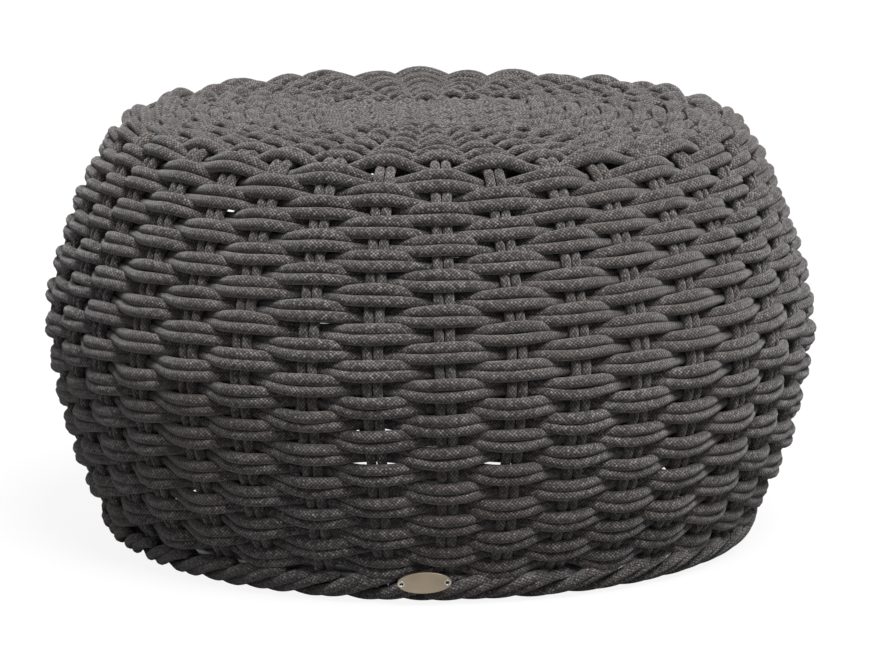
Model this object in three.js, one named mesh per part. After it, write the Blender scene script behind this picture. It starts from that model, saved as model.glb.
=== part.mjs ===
// Round outdoor footstool: an aluminium frame covered in a plain weave of paired rope.
// Millimetres, +Z up, origin on the floor under the middle, front facing -Y.
import * as THREE from 'three';

// Overall form
const overallDiameter = 600;
const overallHeight = 335;
const bellyHeight = 172;
const seatDiameter = 454;
const footDiameter = 462;
const footHeight = 9;
const upperCurveShare = 1.44;
const lowerCurveShare = 1.38;
const quarterTurnShares = [0.73, 0.44, 0.14];

// Rope and weave
const ropeDiameter = 7;
const ropesPerStrand = 2;
const stakeCount = 36;
const rowPitch = 13.5;
const crossPitch = 15;
const clearance = 0.3;
const weaverClearance = 0.7;
const rowGap = 1.4;
const pinchShare = 0.29;
const crossPinchShare = 0.44;
const firstRowShare = 0.85;
const firstCrossing = 29;
const lastRowShare = 0.3;
const borderStepsPerStake = 2;
// Turn of the whole weave and frame, so that a stake stands just right of the front.
const weaveTurn = THREE.MathUtils.degToRad(2);
const weaverLengthShares = [0, 0.32, 0.56, 0.79, 1];

// Frame
const ringTubeDiameter = 16;
const hoopTubeDiameter = 12;
const hoopHeight = 95;
const ribTubeDiameter = 12;
const ribCount = 8;
const beamDiameter = 14;
const ringSegments = 32;
const tubeSides = 6;
const ribSteps = 6;
const bisectionSteps = 40;

// Feet
const glideCount = 8;
const glideDiameter = 24;
const glideHeight = 5.7;
const glideSides = 12;

// Plate
const plateWidth = 40;
const plateHeight = 18;
const plateThickness = 1.5;
const plateRise = 19;
const plateLean = THREE.MathUtils.degToRad(18);
const plateTurn = THREE.MathUtils.degToRad(2.5);
const plateOffset = -3.5;
const eyeletSpacing = 33.8;
const eyeletDiameter = 3.4;
const eyeletRimDiameter = 5.2;
const eyeletRimHeight = 0.6;
const eyeletSegments = 12;
const plateSegments = 20;

const halfRope = ropeDiameter / 2;
const strandWidth = ropesPerStrand * ropeDiameter;
const perSide = stakeCount / 4;
const stakeAngle = (2 * Math.PI) / stakeCount;
const crossHalf = (perSide * crossPitch) / 2;
const pinchedRise = (halfRope + weaverClearance) / (1 - 2 * pinchShare);
const sideRise = ropeDiameter + clearance;
const wallHalf = sideRise + halfRope;
const seatZ = overallHeight - pinchedRise - halfRope;
const bellyRadius = overallDiameter / 2 - wallHalf;
const rimRadius = seatDiameter / 2;
const footRadius = footDiameter / 2;

// The wall's middle line from the rim down to the foot, as [radius, height].
const wallProfile = [
  [rimRadius, seatZ],
  ...quarterTurnShares.map((share) => wallPoint(share, rimRadius, seatZ, upperCurveShare)),
  ...[...quarterTurnShares].reverse().map((share) => wallPoint(share, footRadius, footHeight, lowerCurveShare)),
  [footRadius, footHeight],
].map(([radius, height]) => new THREE.Vector2(radius, height));

function wallPoint(share, endRadius, endHeight, power) {
  const flat = quarterTurnShares[quarterTurnShares.length - 1];
  const fullness = (turn) => Math.cos((turn * Math.PI) / 2) ** power;
  const rise = Math.sin((share * Math.PI) / 2) ** power;
  return [
    endRadius + ((bellyRadius - endRadius) * fullness(share)) / fullness(flat),
    bellyHeight + (endHeight - bellyHeight) * rise,
  ];
}

const wallLengths = wallProfile.slice(1).map((point, i) => point.distanceTo(wallProfile[i]));
const wovenLength = wallLengths.slice(0, -1).reduce((sum, length) => sum + length);
const seatRows = Math.round((rimRadius - crossHalf) / rowPitch);
const sideRows = Math.round(wovenLength / rowPitch);
const lastRow = seatRows + sideRows - lastRowShare;

const stakes = Array.from({ length: stakeCount }, (_, k) => makeStakeLine(k));

// A stake's knots from the edge of the cross to the foot, each with its row number.
function makeStakeLine(k) {
  const angle = (k + 1 / 2) * stakeAngle;
  const side = Math.floor(k / perSide);
  const turned = new THREE.Matrix4().makeRotationZ((side * Math.PI) / 2);
  const place = ((k % perSide) - (perSide - 1) / 2) * crossPitch;
  const start = new THREE.Vector3(crossHalf, place, seatZ).applyMatrix4(turned);
  const outward = new THREE.Vector3(Math.cos(angle - Math.PI / 4), Math.sin(angle - Math.PI / 4), 0);
  const around = new THREE.Vector3(-outward.y, outward.x, 0);
  const wall = wallProfile.map((p) => outward.clone().multiplyScalar(p.x).setZ(p.y));
  const points = [start, ...wall];
  const runs = points.slice(1).map((p, i) => p.clone().sub(points[i]).normalize());
  const faces = runs.map((run, i) => (i === 0 ? new THREE.Vector3(0, 0, 1) : run.clone().cross(around)));
  const rows = [0];
  wallLengths.reduce((sum, length, i) => {
    rows.push(seatRows + (sum / wovenLength) * sideRows);
    return sum + length;
  }, 0);
  rows.push(seatRows + (wallLengths.reduce((sum, length) => sum + length) / wovenLength) * sideRows);
  const normals = points.map((_, i) => mitre(faces[Math.max(i - 1, 0)], faces[Math.min(i, faces.length - 1)]));
  const entry = new THREE.Vector3(1, 0, 0).applyMatrix4(turned);
  const fan = new THREE.Vector3(0, 0, 1).cross(runs[0]);
  const laterals = points.map((_, i) => (i === 0 ? mitre(new THREE.Vector3(0, 0, 1).cross(entry), fan) : around));
  return { points, rows, normals, laterals, around };
}

// The bisector of two unit directions, lengthened so that a thickness along it stays true.
function mitre(a, b) {
  const middle = a.clone().add(b).normalize();
  return middle.divideScalar(middle.dot(a));
}

// Point on a stake's line at a row number.
function pointOn({ points, rows }, row) {
  const i = Math.max(rows.findIndex((end) => end >= row), 1);
  return points[i - 1].clone().lerp(points[i], (row - rows[i - 1]) / (rows[i] - rows[i - 1]));
}

function stakeAt(k) {
  return stakes[(k + stakeCount) % stakeCount];
}

// Where a row lies on stake k: its middle, the direction across it, the outward normal and its height.
function rowBed(k, row) {
  const stake = stakeAt(k);
  const start = pointOn(stake, row - 1 / 2);
  const end = pointOn(stake, row + 1 / 2);
  const run = end.clone().sub(start).normalize();
  const normal = run.clone().cross(stake.around).normalize();
  const middle = pointOn(stake, row);
  const knots = stake.points.filter((_, i) => Math.abs(stake.rows[i] - row) < 1 / 2);
  const bulge = Math.max(0, ...knots.map((knot) => knot.clone().sub(middle).dot(normal)));
  const before = middle.clone().sub(pointOn(stake, row - 1));
  const after = pointOn(stake, row + 1).sub(middle);
  const crowding = ropeDiameter * Math.tan(before.angleTo(after) / 2);
  return { middle, run, normal, bulge, width: start.distanceTo(end) - rowGap - crowding };
}

// Sideways distance from stake k to its nearer neighbour at a row number.
function gapToNext(k, row) {
  const here = pointOn(stakeAt(k), row);
  const steps = [k - 1, k + 1].map((next) => pointOn(stakeAt(next), row).sub(here));
  return Math.min(...steps.map((step) => Math.abs(step.dot(stakeAt(k).around))));
}

// The rope pair is pinched narrow where the stakes crowd round the cross.
function stakeHalfWidth(k, row) {
  const share = Math.min(row / seatRows, 1);
  const pinched = pinchShare * gapToNext(k, 0);
  return THREE.MathUtils.lerp(pinched, strandWidth / 2, share);
}

// How far a weaver stands off the stakes' middle lines to clear them all at a row.
function weaverRise(row) {
  const closed = stakes.map((_, k) => (2 * stakeHalfWidth(k, row)) / gapToNext(k, row));
  return Math.max(sideRise, (halfRope + weaverClearance) / (1 - Math.max(...closed)));
}

// Closed solid through a list of rings of points, joined end to end or capped.
function loft(rings, closed) {
  const count = rings[0].length;
  const position = rings.flat().flatMap((p) => [p.x, p.y, p.z]);
  const index = [];
  const last = closed ? rings.length : rings.length - 1;
  for (let i = 0; i < last; i += 1) {
    const a = i * count;
    const b = ((i + 1) % rings.length) * count;
    for (let j = 0; j < count; j += 1) {
      const n = (j + 1) % count;
      index.push(a + j, a + n, b + j, a + n, b + n, b + j);
    }
  }
  for (let j = 1; !closed && j < count - 1; j += 1) {
    const end = last * count;
    index.push(0, j + 1, j, end, end + j, end + j + 1);
  }
  const geometry = new THREE.BufferGeometry();
  geometry.setAttribute('position', new THREE.Float32BufferAttribute(position, 3));
  geometry.setIndex(index);
  return geometry;
}

// Ridge-sided section of a stake: thin at its edges, a rope thick in its middle.
function stakeSection(point, lateral, normal, halfWidth) {
  return [
    point.clone().addScaledVector(lateral, -halfWidth),
    point.clone().addScaledVector(normal, -halfRope),
    point.clone().addScaledVector(lateral, halfWidth),
    point.clone().addScaledVector(normal, halfRope),
  ];
}

// Sections of one stake end, from the edge of the cross to the foot.
function stakeEnd(k) {
  const { points, rows, normals, laterals } = stakes[k];
  return points.map((p, i) => stakeSection(p, laterals[i], normals[i], stakeHalfWidth(k, rows[i])));
}

// The same ring of points seen from the far end of the stake.
function reversedSection([left, inner, right, outer]) {
  return [right, inner, left, outer];
}

// One rope pair from foot to foot, woven through the cross in the middle of the seat.
function makeStake(k) {
  const far = k - (k % perSide) + 3 * perSide - 1 - (k % perSide);
  const from = stakes[far].points[0];
  const to = stakes[k].points[0];
  const run = to.clone().sub(from).normalize();
  const lateral = new THREE.Vector3(0, 0, 1).cross(run);
  const normal = new THREE.Vector3(0, 0, 1);
  const middle = Array.from({ length: perSide }, (_, i) => {
    const lift = (k + i) % 2 === 0 ? -1 : 1;
    const point = from.clone().lerp(to, (i + 1 / 2) / perSide);
    point.z += lift * (halfRope + clearance / 2);
    return stakeSection(point, lateral, normal, crossPinchShare * crossPitch);
  });
  const farEnd = stakeEnd(far).reverse().map(reversedSection);
  return loft([...farEnd, ...middle, ...stakeEnd(k)], false);
}

// Triangular section of a weaver: flat towards the frame, ridged outwards.
function weaverSection(k, row, side) {
  const { middle, run, normal, bulge, width } = rowBed(k, row);
  const rise = side * weaverRise(row) + (side > 0 ? bulge : 0);
  const base = middle.clone().addScaledVector(normal, rise - halfRope);
  return [
    base.clone().addScaledVector(run, width / 2),
    base.clone().addScaledVector(run, -width / 2),
    base.clone().addScaledVector(normal, ropeDiameter),
  ];
}

function mixSections(a, b, share) {
  return a.map((p, i) => p.clone().lerp(b[i], share));
}

// Part of a weaver that spirals outward, over every other stake and under the rest.
function makeWeaver(first, lead, startShare, endShare) {
  const crossings = Math.floor(((lastRow - firstRowShare) / 2) * stakeCount);
  const sectionAt = (i) => {
    const k = (first + i) % stakeCount;
    const row = firstRowShare + (2 * (i + lead)) / stakeCount;
    return weaverSection(k, row, i % 2 === 0 ? 1 : -1);
  };
  const from = Math.round(startShare * crossings);
  const to = Math.round(endShare * crossings);
  const rings = Array.from({ length: to - from }, (_, i) => sectionAt(from + i));
  const joint = clearance / crossPitch;
  const tail = endShare < 1 ? [mixSections(sectionAt(to - 1), sectionAt(to), (1 - joint) / 2)] : [];
  const head = startShare > 0 ? [mixSections(sectionAt(from - 1), sectionAt(from), (1 + joint) / 2)] : [];
  return loft([...head, ...rings, ...tail], false);
}

// Corners of the border's section, as [radius, height] points: it lies outside the stakes' ends.
function borderCorners() {
  const [upper, lower] = wallProfile.slice(-2);
  const along = lower.clone().sub(upper).normalize();
  const out = new THREE.Vector2(-along.y, along.x);
  const middle = upper.clone().lerp(lower, 1 / 2).addScaledVector(out, ropeDiameter + clearance);
  const halfWidth = upper.distanceTo(lower) / 2;
  const corners = [[-halfWidth, 0], [0, halfRope], [halfWidth, 0], [0, -halfRope]];
  return corners.map(([a, b]) => middle.clone().addScaledVector(along, a).addScaledVector(out, b));
}

// Rope round that closes the weave at the foot.
function makeBorder() {
  const rings = Array.from({ length: stakeCount * borderStepsPerStake }, (_, i) => {
    const angle = (i * stakeAngle) / borderStepsPerStake;
    return borderCorners().map((p) => new THREE.Vector3(p.x * Math.cos(angle), p.x * Math.sin(angle), p.y));
  });
  return loft(rings, true);
}

// Least distance from a point to the middle line of the seat and wall.
function distanceToWall(radius, height) {
  const line = [new THREE.Vector2(0, seatZ), ...wallProfile];
  const point = new THREE.Vector3(radius, height, 0);
  return Math.min(...line.slice(1).map((end, i) => {
    const segment = new THREE.Line3(
      new THREE.Vector3(line[i].x, line[i].y, 0),
      new THREE.Vector3(end.x, end.y, 0),
    );
    return segment.closestPointToPoint(point, true, new THREE.Vector3()).distanceTo(point);
  }));
}

// Radius at a height where a point inside lies this far from the wall's middle line.
function radiusInside(height, distance) {
  let inner = 0;
  let outer = bellyRadius;
  for (let i = 0; i < bisectionSteps; i += 1) {
    const radius = (inner + outer) / 2;
    if (distanceToWall(radius, height) > distance && radius < radiusAtHeight(height)) inner = radius;
    else outer = radius;
  }
  return inner;
}

// Radius of the wall's middle line at a height.
function radiusAtHeight(height) {
  const i = wallProfile.findIndex((p) => p.y <= height);
  if (i <= 0) return i === 0 ? rimRadius : footRadius;
  const [above, below] = [wallProfile[i - 1], wallProfile[i]];
  return THREE.MathUtils.mapLinear(height, above.y, below.y, above.x, below.x);
}

const ringTube = ringTubeDiameter / 2;
const hoopTube = hoopTubeDiameter / 2;
const ribTube = ribTubeDiameter / 2;
const beamTube = beamDiameter / 2;
const topRingZ = seatZ - pinchedRise - halfRope - clearance - ringTube;
const topRingRadius = radiusInside(topRingZ, wallHalf + clearance + ringTube);
const baseRingZ = glideHeight + clearance + ringTube * Math.cos(Math.PI / tubeSides);
const baseRingRadius = radiusInside(baseRingZ, halfRope + clearance + ringTube);
const ribOffset = wallHalf + clearance + ribTube;
const ribPoints = makeRibPoints();
const hoopRadius = ribRadiusAt(hoopHeight) - ribTube - clearance - hoopTube;

function makeRing(radius, tube) {
  return new THREE.TorusGeometry(radius, tube, tubeSides, ringSegments);
}

// Height on the rib's line where its flat end just clears a ring.
function ribEndHeight(ringZ, ringRadius) {
  let near = ringZ;
  let clear = bellyHeight;
  const ring = new THREE.Vector3(ringRadius, 0, ringZ);
  for (let i = 0; i < bisectionSteps; i += 1) {
    const height = (near + clear) / 2;
    const end = new THREE.Vector3(radiusInside(height, ribOffset), 0, height);
    const inward = THREE.MathUtils.lerp(height, bellyHeight, 1 / ribSteps);
    const run = new THREE.Vector3(radiusInside(inward, ribOffset), 0, inward).sub(end).normalize();
    const half = new THREE.Vector3(-run.z, 0, run.x).multiplyScalar(ribTube);
    const face = new THREE.Line3(end.clone().sub(half), end.clone().add(half));
    const reach = face.closestPointToPoint(ring, true, new THREE.Vector3()).distanceTo(ring);
    if (reach > ringTube + clearance) clear = height;
    else near = height;
  }
  return clear;
}

// Points of a rib that follows the inside of the wall from the base ring to the top ring.
function makeRibPoints() {
  const bottom = ribEndHeight(baseRingZ, baseRingRadius);
  const top = ribEndHeight(topRingZ, topRingRadius);
  return Array.from({ length: ribSteps + 1 }, (_, i) => {
    const height = THREE.MathUtils.lerp(bottom, top, i / ribSteps);
    return new THREE.Vector3(radiusInside(height, ribOffset), 0, height);
  });
}

// Radius of a rib's middle line at a height.
function ribRadiusAt(height) {
  const i = ribPoints.findIndex((p) => p.z >= height);
  const [below, above] = [ribPoints[i - 1], ribPoints[i]];
  return THREE.MathUtils.mapLinear(height, below.z, above.z, below.x, above.x);
}

// Bent tube from the base ring to the top ring.
function makeRib() {
  const section = new THREE.Shape().absarc(0, 0, ribTube, 0, 2 * Math.PI);
  return new THREE.ExtrudeGeometry(section, {
    extrudePath: new THREE.CatmullRomCurve3(ribPoints),
    curveSegments: tubeSides / 2,
    steps: ribSteps,
  });
}

function makeBeam(length) {
  return new THREE.CylinderGeometry(beamTube, beamTube, length, glideSides);
}

function makeGlide() {
  return new THREE.CylinderGeometry(glideDiameter / 2, glideDiameter / 2, glideHeight, glideSides);
}

// Oval plate with a hole near each end.
function makePlate() {
  const oval = new THREE.Shape().absellipse(0, 0, plateWidth / 2, plateHeight / 2, 0, 2 * Math.PI);
  for (const side of [-1, 1]) {
    const hole = new THREE.Path();
    hole.absarc((side * eyeletSpacing) / 2, 0, eyeletDiameter / 2 + clearance, 0, 2 * Math.PI, true);
    oval.holes.push(hole);
  }
  return new THREE.ExtrudeGeometry(oval, {
    depth: plateThickness,
    bevelEnabled: false,
    curveSegments: plateSegments / 2,
  });
}

// Eyelet with an open bore and a rolled rim that overlaps the plate's face.
function makeEyelet() {
  const bore = eyeletDiameter / 4;
  const barrel = eyeletDiameter / 2;
  const seat = plateThickness + clearance;
  const profile = [
    [bore, 0],
    [barrel, 0],
    [barrel, seat],
    [eyeletRimDiameter / 2, seat],
    [barrel, seat + eyeletRimHeight],
    [bore, seat + eyeletRimHeight],
    [bore, 0],
  ];
  return new THREE.LatheGeometry(profile.map(([x, y]) => new THREE.Vector2(x, y)), eyeletSegments);
}

function rope(color) {
  return new THREE.MeshStandardMaterial({ color, roughness: 0.95, metalness: 0 });
}

function metal(color, roughness) {
  return new THREE.MeshStandardMaterial({ color, roughness, metalness: 1 });
}

function addMesh(parent, name, geometry, material) {
  const mesh = new THREE.Mesh(geometry, material);
  mesh.name = name;
  parent.add(mesh);
  return mesh;
}

function addFrame(parent) {
  const finish = () => metal(0xb9babb, 0.4);
  addMesh(parent, 'top_ring', makeRing(topRingRadius, ringTube), finish()).position.z = topRingZ;
  addMesh(parent, 'base_ring', makeRing(baseRingRadius, ringTube), finish()).position.z = baseRingZ;
  addMesh(parent, 'side_hoop', makeRing(hoopRadius, hoopTube), finish()).position.z = hoopHeight;
  for (let i = 0; i < ribCount; i += 1) {
    const rib = addMesh(parent, `rib_${i + 1}`, makeRib(), finish());
    rib.rotation.z = ((i + 1 / 2) * 2 * Math.PI) / ribCount;
  }
  const reach = topRingRadius - ringTube - clearance - beamTube * Math.tan(Math.PI / ringSegments);
  const beamZ = seatZ - pinchedRise - halfRope - clearance - beamTube;
  const beam = addMesh(parent, 'seat_beam', makeBeam(2 * reach), finish());
  beam.position.z = beamZ;
  const armLength = reach - beamTube - clearance;
  for (const [name, side] of [['seat_arm_left', -1], ['seat_arm_right', 1]]) {
    const arm = addMesh(parent, name, makeBeam(armLength), finish());
    arm.rotation.z = Math.PI / 2;
    arm.position.set(side * (reach - armLength / 2), 0, beamZ);
  }
}

function addGlides(parent) {
  for (let i = 0; i < glideCount; i += 1) {
    const angle = (i * 2 * Math.PI) / glideCount;
    const material = new THREE.MeshStandardMaterial({ color: 0x1b1b1c, roughness: 0.6, metalness: 0 });
    const glide = addMesh(parent, `glide_${i + 1}`, makeGlide(), material);
    glide.rotation.x = Math.PI / 2;
    glide.position.set(baseRingRadius * Math.cos(angle), baseRingRadius * Math.sin(angle), glideHeight / 2);
  }
}

function addWeave(parent) {
  for (let i = 0; i < perSide; i += 1) {
    addMesh(parent, `stake_across_${i + 1}`, makeStake(i), rope(0x565250));
    addMesh(parent, `stake_along_${i + 1}`, makeStake(perSide + i), rope(0x565250));
  }
  const parts = ['seat', 'upper', 'belly', 'lower'];
  parts.forEach((part, i) => {
    const [start, end] = weaverLengthShares.slice(i, i + 2);
    const chaser = firstCrossing + stakeCount / 2 + 1;
    addMesh(parent, `${part}_weaver_a`, makeWeaver(firstCrossing, 0, start, end), rope(0x5e5a58));
    addMesh(parent, `${part}_weaver_b`, makeWeaver(chaser, 1, start, end), rope(0x5a5654));
  });
  addMesh(parent, 'base_border', makeBorder(), rope(0x4a4644));
}

function addPlate(parent) {
  const reaches = borderCorners().map((p) => p.x + (plateRise - p.y) * Math.tan(plateLean));
  const radius = Math.max(...reaches) + clearance;
  const plate = new THREE.Group();
  plate.position.set(plateOffset, -radius, plateRise);
  plate.rotation.set(Math.PI / 2 + plateLean, 0, 0);
  const face = new THREE.Group();
  face.rotation.z = plateTurn;
  plate.add(face);
  parent.add(plate);
  addMesh(face, 'badge_plate', makePlate(), metal(0x8a7a63, 0.45));
  for (const [name, side] of [['eyelet_left', -1], ['eyelet_right', 1]]) {
    const eyelet = addMesh(face, name, makeEyelet(), metal(0xc9c8c4, 0.3));
    eyelet.rotation.x = Math.PI / 2;
    eyelet.position.set((side * eyeletSpacing) / 2, 0, 0);
  }
}

const footstool = new THREE.Group();
footstool.name = 'footstool';
const body = new THREE.Group();
body.rotation.z = weaveTurn;
footstool.add(body);
addFrame(body);
addGlides(body);
addWeave(body);
addPlate(footstool);

export default footstool;
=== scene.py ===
from math import cos, pi, radians, sin

import bmesh
import bpy
import numpy as np
from mathutils import Matrix, Vector


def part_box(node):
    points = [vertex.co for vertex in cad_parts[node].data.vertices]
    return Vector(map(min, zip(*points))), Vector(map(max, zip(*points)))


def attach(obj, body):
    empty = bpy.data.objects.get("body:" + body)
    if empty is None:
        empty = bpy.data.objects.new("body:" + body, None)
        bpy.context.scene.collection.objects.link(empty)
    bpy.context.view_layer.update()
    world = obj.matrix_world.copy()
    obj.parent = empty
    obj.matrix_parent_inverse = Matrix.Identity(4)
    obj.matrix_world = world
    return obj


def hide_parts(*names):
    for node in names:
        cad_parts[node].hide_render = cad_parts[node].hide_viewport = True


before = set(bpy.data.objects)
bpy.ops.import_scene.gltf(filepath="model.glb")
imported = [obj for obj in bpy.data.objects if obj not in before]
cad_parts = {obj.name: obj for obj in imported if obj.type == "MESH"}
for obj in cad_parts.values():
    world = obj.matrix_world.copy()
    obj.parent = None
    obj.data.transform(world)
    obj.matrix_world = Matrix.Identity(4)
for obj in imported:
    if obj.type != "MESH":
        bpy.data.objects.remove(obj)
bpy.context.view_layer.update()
print("frame loaded:", len(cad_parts), "nodes")


class Wire:  # one output socket, which can stand in an expression
    def __init__(self, net, socket):
        self.net = net
        self.socket = socket

    def out(self, name):
        return Wire(self.net, self.socket.node.outputs[name])

    def isVector(self):
        return self.socket.type in ("VECTOR", "RGBA")

    def maths(self, operation, *terms):
        vector = any(isinstance(term, Wire) and term.isVector() for term in terms)
        kind = "ShaderNodeVectorMath" if vector else "ShaderNodeMath"
        return self.net.node(kind, {"operation": operation}, dict(enumerate(terms)))

    def __add__(self, other):
        return self.maths("ADD", self, other)

    def __radd__(self, other):
        return self.maths("ADD", other, self)

    def __sub__(self, other):
        return self.maths("SUBTRACT", self, other)

    def __rsub__(self, other):
        return self.maths("SUBTRACT", other, self)

    def __mul__(self, other):
        return self.maths("MULTIPLY", self, other)

    def __rmul__(self, other):
        return self.maths("MULTIPLY", other, self)

    def __truediv__(self, other):
        return self.maths("DIVIDE", self, other)

    def __rtruediv__(self, other):
        return self.maths("DIVIDE", other, self)

    def __pow__(self, other):
        return self.maths("POWER", self, other)

    def __rpow__(self, other):
        return self.maths("POWER", other, self)

    def cos(self):
        return self.maths("COSINE", self)

    def sin(self):
        return self.maths("SINE", self)

    def floor(self):
        return self.maths("FLOOR", self)

    def fraction(self):
        return self.maths("FRACT", self)

    def size(self):
        return self.maths("ABSOLUTE", self)

    def least(self, other):
        return self.maths("MINIMUM", self, other)

    def above(self, other):
        return self.maths("GREATER_THAN", self, other)

    def ease(self, low, high):  # 0 below low, 1 above high, smooth between
        return self.net.node(
            "ShaderNodeMapRange",
            {"interpolation_type": "SMOOTHSTEP"},
            {"Value": self, "From Min": low, "From Max": high},
        )


class Net:  # adds nodes to one tree
    def __init__(self, tree):
        self.tree = tree

    def node(self, kind, settings=None, inputs=None, output=0):
        made = self.tree.nodes.new(kind)
        for name, value in (settings or {}).items():
            if name == "stops":
                self.setStops(made.color_ramp, value)
            else:
                setattr(made, name, value)
        for key, value in (inputs or {}).items():
            self.plug(made.inputs[key], value)
        return Wire(self, made.outputs[output]) if made.outputs else None

    def plug(self, socket, value):
        if isinstance(value, Wire):
            self.tree.links.new(value.socket, socket)
        elif socket.type == "VECTOR" and isinstance(value, (int, float)):
            socket.default_value = (value, value, value)
        elif socket.type == "RGBA":
            socket.default_value = (*value[:3], 1)
        else:
            socket.default_value = value

    def setStops(self, ramp, stops):
        while len(ramp.elements) < len(stops):
            ramp.elements.new(1)
        for element, (place, colour) in zip(ramp.elements, stops):
            element.position = place
            element.color = (*colour, 1)

    def colour(self, factor, first, second, blend="MIX"):
        settings = {"data_type": "RGBA", "blend_type": blend}
        return self.node("ShaderNodeMix", settings, {0: factor, 6: first, 7: second}, 2)

    def blend(self, first, second, factor):  # between two numbers
        return first + (second - first) * factor

    def vector(self, x, y, z):
        return self.node("ShaderNodeCombineXYZ", None, {0: x, 1: y, 2: z})

    def noise(self, place, scale, detail):
        inputs = {"Vector": place, "Scale": scale, "Detail": detail}
        return self.node("ShaderNodeTexNoise", None, inputs)

    def random(self, identity, seed):  # between -1 and 1
        inputs = {2: -1.0, 3: 1.0, "ID": identity, "Seed": seed}
        return self.node("FunctionNodeRandomValue", {"data_type": "FLOAT"}, inputs, 1)

    def keep(self, geometry, name, value):  # a value that stays with the points it is read on
        kept = self.node("GeometryNodeCaptureAttribute", None, {"Geometry": geometry})
        kept.socket.node.capture_items.new("FLOAT", name)
        self.plug(kept.socket.node.inputs[name], value)
        return kept


def newTree(name, sizes, keys, others):  # a size such as fullRadius becomes the input Full Radius
    tree = bpy.data.node_groups.new(name, "GeometryNodeTree")
    kinds = {int: "NodeSocketInt", float: "NodeSocketFloat"}
    inputs = dict(others)
    for key in keys:
        label = "".join(" " + letter if letter.isupper() else letter for letter in key)
        inputs[label.title()] = sizes[key]
    for label, value in inputs.items():
        kind = kinds.get(type(value), value)
        socket = tree.interface.new_socket(label, in_out="INPUT", socket_type=kind)
        if type(value) in kinds:
            socket.default_value = value
    tree.interface.new_socket("Geometry", in_out="OUTPUT", socket_type="NodeSocketGeometry")
    net = Net(tree)
    entry = net.node("NodeGroupInput")
    return net, {label: entry.out(label) for label in inputs}


def newObject(name, data):
    made = bpy.data.objects.new(name, data)
    bpy.context.collection.objects.link(made)
    return made


def plainMesh(maker):  # what an object's curve or modifiers make
    graph = bpy.context.evaluated_depsgraph_get()
    return bpy.data.meshes.new_from_object(maker.evaluated_get(graph))


def grow(name, net, values):  # runs a tree with these inputs and keeps the plain mesh
    piece = newObject(name, bpy.data.meshes.new(name))
    modifier = piece.modifiers.new("make", "NODES")
    modifier.node_group = net.tree
    for item in net.tree.interface.items_tree:
        if item.in_out == "INPUT" and item.name in values:
            modifier[item.identifier] = values[item.name]
    mesh = plainMesh(piece)
    piece.modifiers.clear()
    piece.data = mesh
    mesh.name = name
    return piece


def finishPiece(piece, slot, *nodes):
    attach(piece, "root")
    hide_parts(*nodes)
    print(piece.name, len(piece.data.polygons), "faces")


shell = {  # the surface that the ropes follow
    "stakes": 36,
    "bellyRadius": 0.2894,
    "bellyHeight": 0.172,
    "rimRadius": 0.227,
    "seatHeight": 0.3215,
    "footRadius": 0.231,
    "footHeight": 0.009,
    "upperCurve": 1.44,
    "lowerCurve": 1.38,
    "curveSteps": 400,
    "crossHalf": 0.0675,
    "crossRows": 4.5,
    "seatRows": 12,
    "wallRows": 26,
    "wallStart": (0.7, 1.05),  # between these shares of the seat, its sizes turn into the wall's
    "shoulderSag": 0.0045,  # rows lie a little lower just below the rim
    "sagRows": 1.3,
    "turn": radians(2),
    "crown": 0.0022,  # the middle of the seat stands a little higher
    "cellSteps": 4,  # mesh points from one stake or row to the next
    "gripRows": 4,  # ropes can't stray in the cross, and stray in full this many rows out
    "stakeWander": 0.0022,  # how far stakes stray sideways
    "rowWander": 0.0013,  # how far rows stray up and down
    "dents": 0.0010,  # how far the surface stands in and out
    "stakeWanderCell": (1, 9),  # stakes and rows from one random value to the next
    "rowWanderCell": (2, 3),
    "dentCell": (4, 6),
    "wanderSeed": 12,
}
lastRow = shell["seatRows"] + shell["wallRows"]
perSide = shell["stakes"] // 4


def wallCurve(count, sag=0):  # radius and height from rim to foot, at equal steps of length
    belly, height, steps = shell["bellyRadius"], shell["bellyHeight"], shell["curveSteps"]
    upper, lower = np.linspace(1, 0, steps), np.linspace(0, 1, steps)[1:]
    halves = []
    for end, endHeight, power, shares in (
        (shell["rimRadius"], shell["seatHeight"], shell["upperCurve"], upper),
        (shell["footRadius"], shell["footHeight"], shell["lowerCurve"], lower),
    ):
        radius = end + (belly - end) * np.cos(shares * pi / 2).clip(0) ** power
        rise = height + (endHeight - height) * np.sin(shares * pi / 2) ** power
        halves.append(np.stack([radius, rise], 1))
    line = np.concatenate(halves)
    spans = np.linalg.norm(np.diff(line, axis=0), axis=1)
    lengths = np.concatenate([[0], np.cumsum(spans)])
    places = np.linspace(0, lengths[-1], count)
    rows = np.linspace(0, shell["wallRows"], count) / shell["sagRows"]
    places += sag * rows * np.exp(1 - rows)
    return np.stack([np.interp(places, lengths, line[:, i]) for i in (0, 1)], 1)


def smooth(share):  # eases a share between 0 and 1 at both ends
    return share * share * (3 - 2 * share)


def smoothRandom(draw, across, along, wide, high):  # a random field, closed in its first direction
    values = draw.normal(0, 1, (wide, high + 2))
    x, y = across % wide, along.clip(0, high)
    i, j = np.floor(x).astype(int), np.floor(y).astype(int)
    s, t = smooth(x - i), smooth(y - j)
    first = values[i % wide, j] * (1 - s) + values[(i + 1) % wide, j] * s
    second = values[i % wide, j + 1] * (1 - s) + values[(i + 1) % wide, j + 1] * s
    return first * (1 - t) + second * t


def addressOf(stake, row):  # place on the shell's flat map, for arrays and for wires
    rows = lastRow + shell["crossRows"]
    return (stake + 1) / (shell["stakes"] + 2), (row + shell["crossRows"]) / rows


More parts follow.
